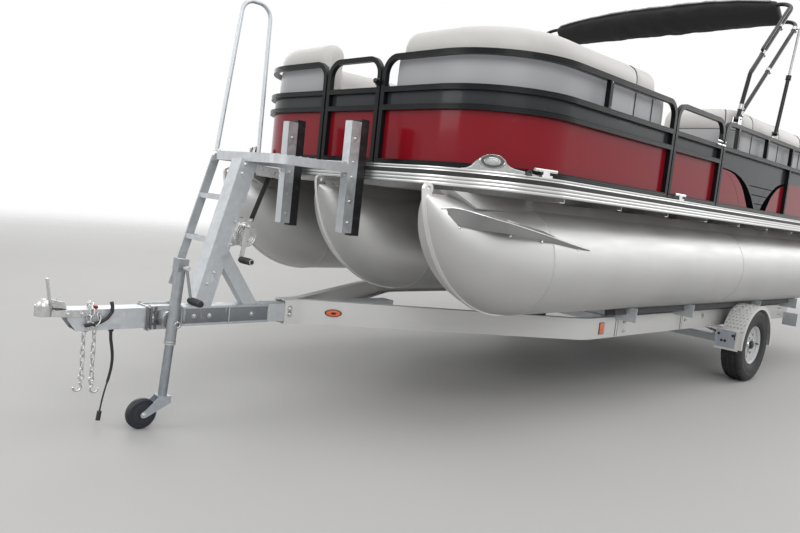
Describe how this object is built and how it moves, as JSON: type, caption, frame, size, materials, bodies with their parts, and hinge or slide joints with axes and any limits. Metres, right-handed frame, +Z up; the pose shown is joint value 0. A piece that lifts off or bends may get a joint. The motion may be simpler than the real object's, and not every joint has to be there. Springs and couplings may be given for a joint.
{
  "type": "pontoon boat on trailer",
  "caption": "Pontoon boat with railed deck, lounge seats, helm, folding top and outboard motor, standing on its single-axle trailer with tongue jack and winch stand.",
  "frame": {"origin": "middle of the overall footprint, on the floor", "axes": "+X towards the bow and the trailer's coupler, +Y to port, +Z up"},
  "size_m": [9.095, 2.594, 3.3008],
  "materials": {
    "float_aluminium": "satin with weld seams",
    "deck_floor": "woven vinyl floor",
    "rail_aluminium": "bright extruded",
    "rail_rubber": "matt",
    "fence_paint": "gloss black",
    "panel_red": "gloss deep red",
    "panel_charcoal": "gloss charcoal",
    "gate_skin": "gloss red below, charcoal above",
    "seat_shell": "textured",
    "seat_vinyl": "soft vinyl",
    "console_shell": "moulded",
    "helm_grip": "moulded grip",
    "top_frame": "satin black",
    "top_fitting": "polished",
    "canvas": "woven",
    "motor_paint": "gloss black",
    "propeller_steel": "polished",
    "galvanised": "hot-dip galvanised",
    "zinc": "zinc plated",
    "frame_paint": "gloss white",
    "bunk_carpet": "carpeted timber",
    "tyre": "matt",
    "wheel_silver": "silver",
    "roller_plastic": "moulded",
    "strap_web": "woven",
    "grab_rail": "polished",
    "lead_sheath": "matt"
  },
  "bodies": {
    "root": {"pontoon_port": "float_aluminium", "pontoon_centre": "float_aluminium", "pontoon_starboard": "float_aluminium", "deck_beams": "float_aluminium", "deck": "deck_floor", "rub_rail": "rail_aluminium", "rub_rail_insert": "rail_rubber", "guide_pads": "rail_rubber", "fence_frames": "fence_paint", "lower_panels": "panel_red", "upper_panels": "panel_charcoal", "lounge_bases": "seat_shell", "bow_cushions_port": "seat_vinyl", "bow_cushions_starboard": "seat_vinyl", "stern_cushions": "seat_vinyl", "captain_chair": "seat_vinyl", "helm_console": "console_shell", "bimini_mounts": "top_fitting", "docking_lights": "top_fitting", "cleats": "top_fitting", "motor_bracket": "motor_paint", "tongue": "galvanised", "cross_members": "galvanised", "winch_stand": "galvanised", "axle": "galvanised", "safety_chains": "galvanised", "trailer_lamps": "galvanised", "coupler": "zinc", "winch": "zinc", "frame_rails": "frame_paint", "fenders": "frame_paint", "bunks": "bunk_carpet", "wiring_plug": "roller_plastic", "winch_strap": "strap_web", "handrail": "grab_rail", "wiring_lead": "lead_sheath"},
    "bow_gate": {"bow_gate_frame": "fence_paint", "bow_gate_panel": "gate_skin"},
    "port_gate": {"port_gate_frame": "fence_paint", "port_gate_panel": "gate_skin"},
    "stern_gate": {"stern_gate_frame": "fence_paint", "stern_gate_panel": "gate_skin"},
    "helm": {"steering_wheel": "helm_grip"},
    "bimini": {"bimini_bows": "top_frame", "bimini_boot": "canvas"},
    "brace_lower": {"bimini_brace_tubes": "top_frame"},
    "brace_upper": {"bimini_brace_rods": "top_frame"},
    "swivel": {"motor_swivel": "motor_paint"},
    "motor": {"motor_leg": "motor_paint", "motor_cowl": "motor_paint"},
    "prop": {"propeller": "propeller_steel"},
    "wheel_port": {"tyre_port": "tyre", "rim_port": "wheel_silver"},
    "wheel_starboard": {"tyre_starboard": "tyre", "rim_starboard": "wheel_silver"},
    "jack": {"jack_sleeve": "zinc", "jack_leg": "zinc"},
    "caster": {"jack_fork": "zinc"},
    "jack_roller": {"jack_wheel": "roller_plastic"}
  },
  "joints": [
    {"name": "bow_gate_swing", "type": "hinge", "parent": "root", "child": "bow_gate", "pos_m": [2.7975, -0.257, 1.445], "axis": [0, 0, 1], "range_deg": [0, 90]},
    {"name": "port_gate_swing", "type": "hinge", "parent": "root", "child": "port_gate", "pos_m": [1.1195, 1.216, 1.445], "axis": [0, 0, 1], "range_deg": [0, 90]},
    {"name": "stern_gate_swing", "type": "hinge", "parent": "root", "child": "stern_gate", "pos_m": [-2.6375, -0.912, 1.445], "axis": [0, 0, -1], "range_deg": [0, 90]},
    {"name": "bimini_fold", "type": "hinge", "parent": "root", "child": "bimini", "pos_m": [0.1065, 0, 2.111], "axis": [0, -1, 0], "range_deg": [0, 36]},
    {"name": "brace_tilt", "type": "hinge", "parent": "root", "child": "brace_lower", "pos_m": [-0.5855, 0, 2.1], "axis": [0, -1, 0], "range_deg": [0, 54.05]},
    {"name": "brace_slide", "type": "slide", "parent": "brace_lower", "child": "brace_upper", "axis": [-0.2056, 0, 0.9786], "range_m": [-0.3535, 0]},
    {"name": "motor_tilt", "type": "hinge", "parent": "root", "child": "swivel", "pos_m": [-3.9825, 0, 1.205], "axis": [0, 1, 0], "range_deg": [0, 60]},
    {"name": "motor_steer", "type": "hinge", "parent": "swivel", "child": "motor", "pos_m": [-4.0425, 0, 1.205], "axis": [0, 0, 1], "range_deg": [-30, 30]},
    {"name": "helm_turn", "type": "hinge", "parent": "root", "child": "helm", "pos_m": [0.0525, -0.64, 2.06], "axis": [-0.8829, 0, 0.4695], "range_deg": [-450, 450]},
    {"name": "propeller_spin", "type": "hinge", "parent": "motor", "child": "prop", "pos_m": [-4.2725, 0, 0.56], "axis": [1, 0, 0], "continuous": true},
    {"name": "wheel_port_spin", "type": "hinge", "parent": "root", "child": "wheel_port", "pos_m": [-0.9075, 1.158, 0.318], "axis": [0, 1, 0], "continuous": true},
    {"name": "wheel_starboard_spin", "type": "hinge", "parent": "root", "child": "wheel_starboard", "pos_m": [-0.9075, -1.158, 0.318], "axis": [0, 1, 0], "continuous": true},
    {"name": "jack_swing", "type": "hinge", "parent": "root", "child": "jack", "pos_m": [3.95255, 0.16, 0.529], "axis": [0, 1, 0], "range_deg": [0, 90]},
    {"name": "jack_swivel", "type": "hinge", "parent": "jack", "child": "caster", "pos_m": [3.9785, 0.16, 0.157], "axis": [-0.0696, 0, 0.9976], "continuous": true},
    {"name": "jack_roll", "type": "hinge", "parent": "caster", "child": "jack_roller", "pos_m": [4.0825, 0.16, 0.076], "axis": [0, 1, 0], "continuous": true}
  ],
  "couplings": [
    {"joint": "brace_tilt", "follows": "bimini_fold", "ratio": 1.4875},
    {"joint": "brace_slide", "follows": "bimini_fold", "m_per_rad": -0.55949},
    {"joint": "helm_turn", "follows": "motor_steer", "ratio": 15}
  ]
}
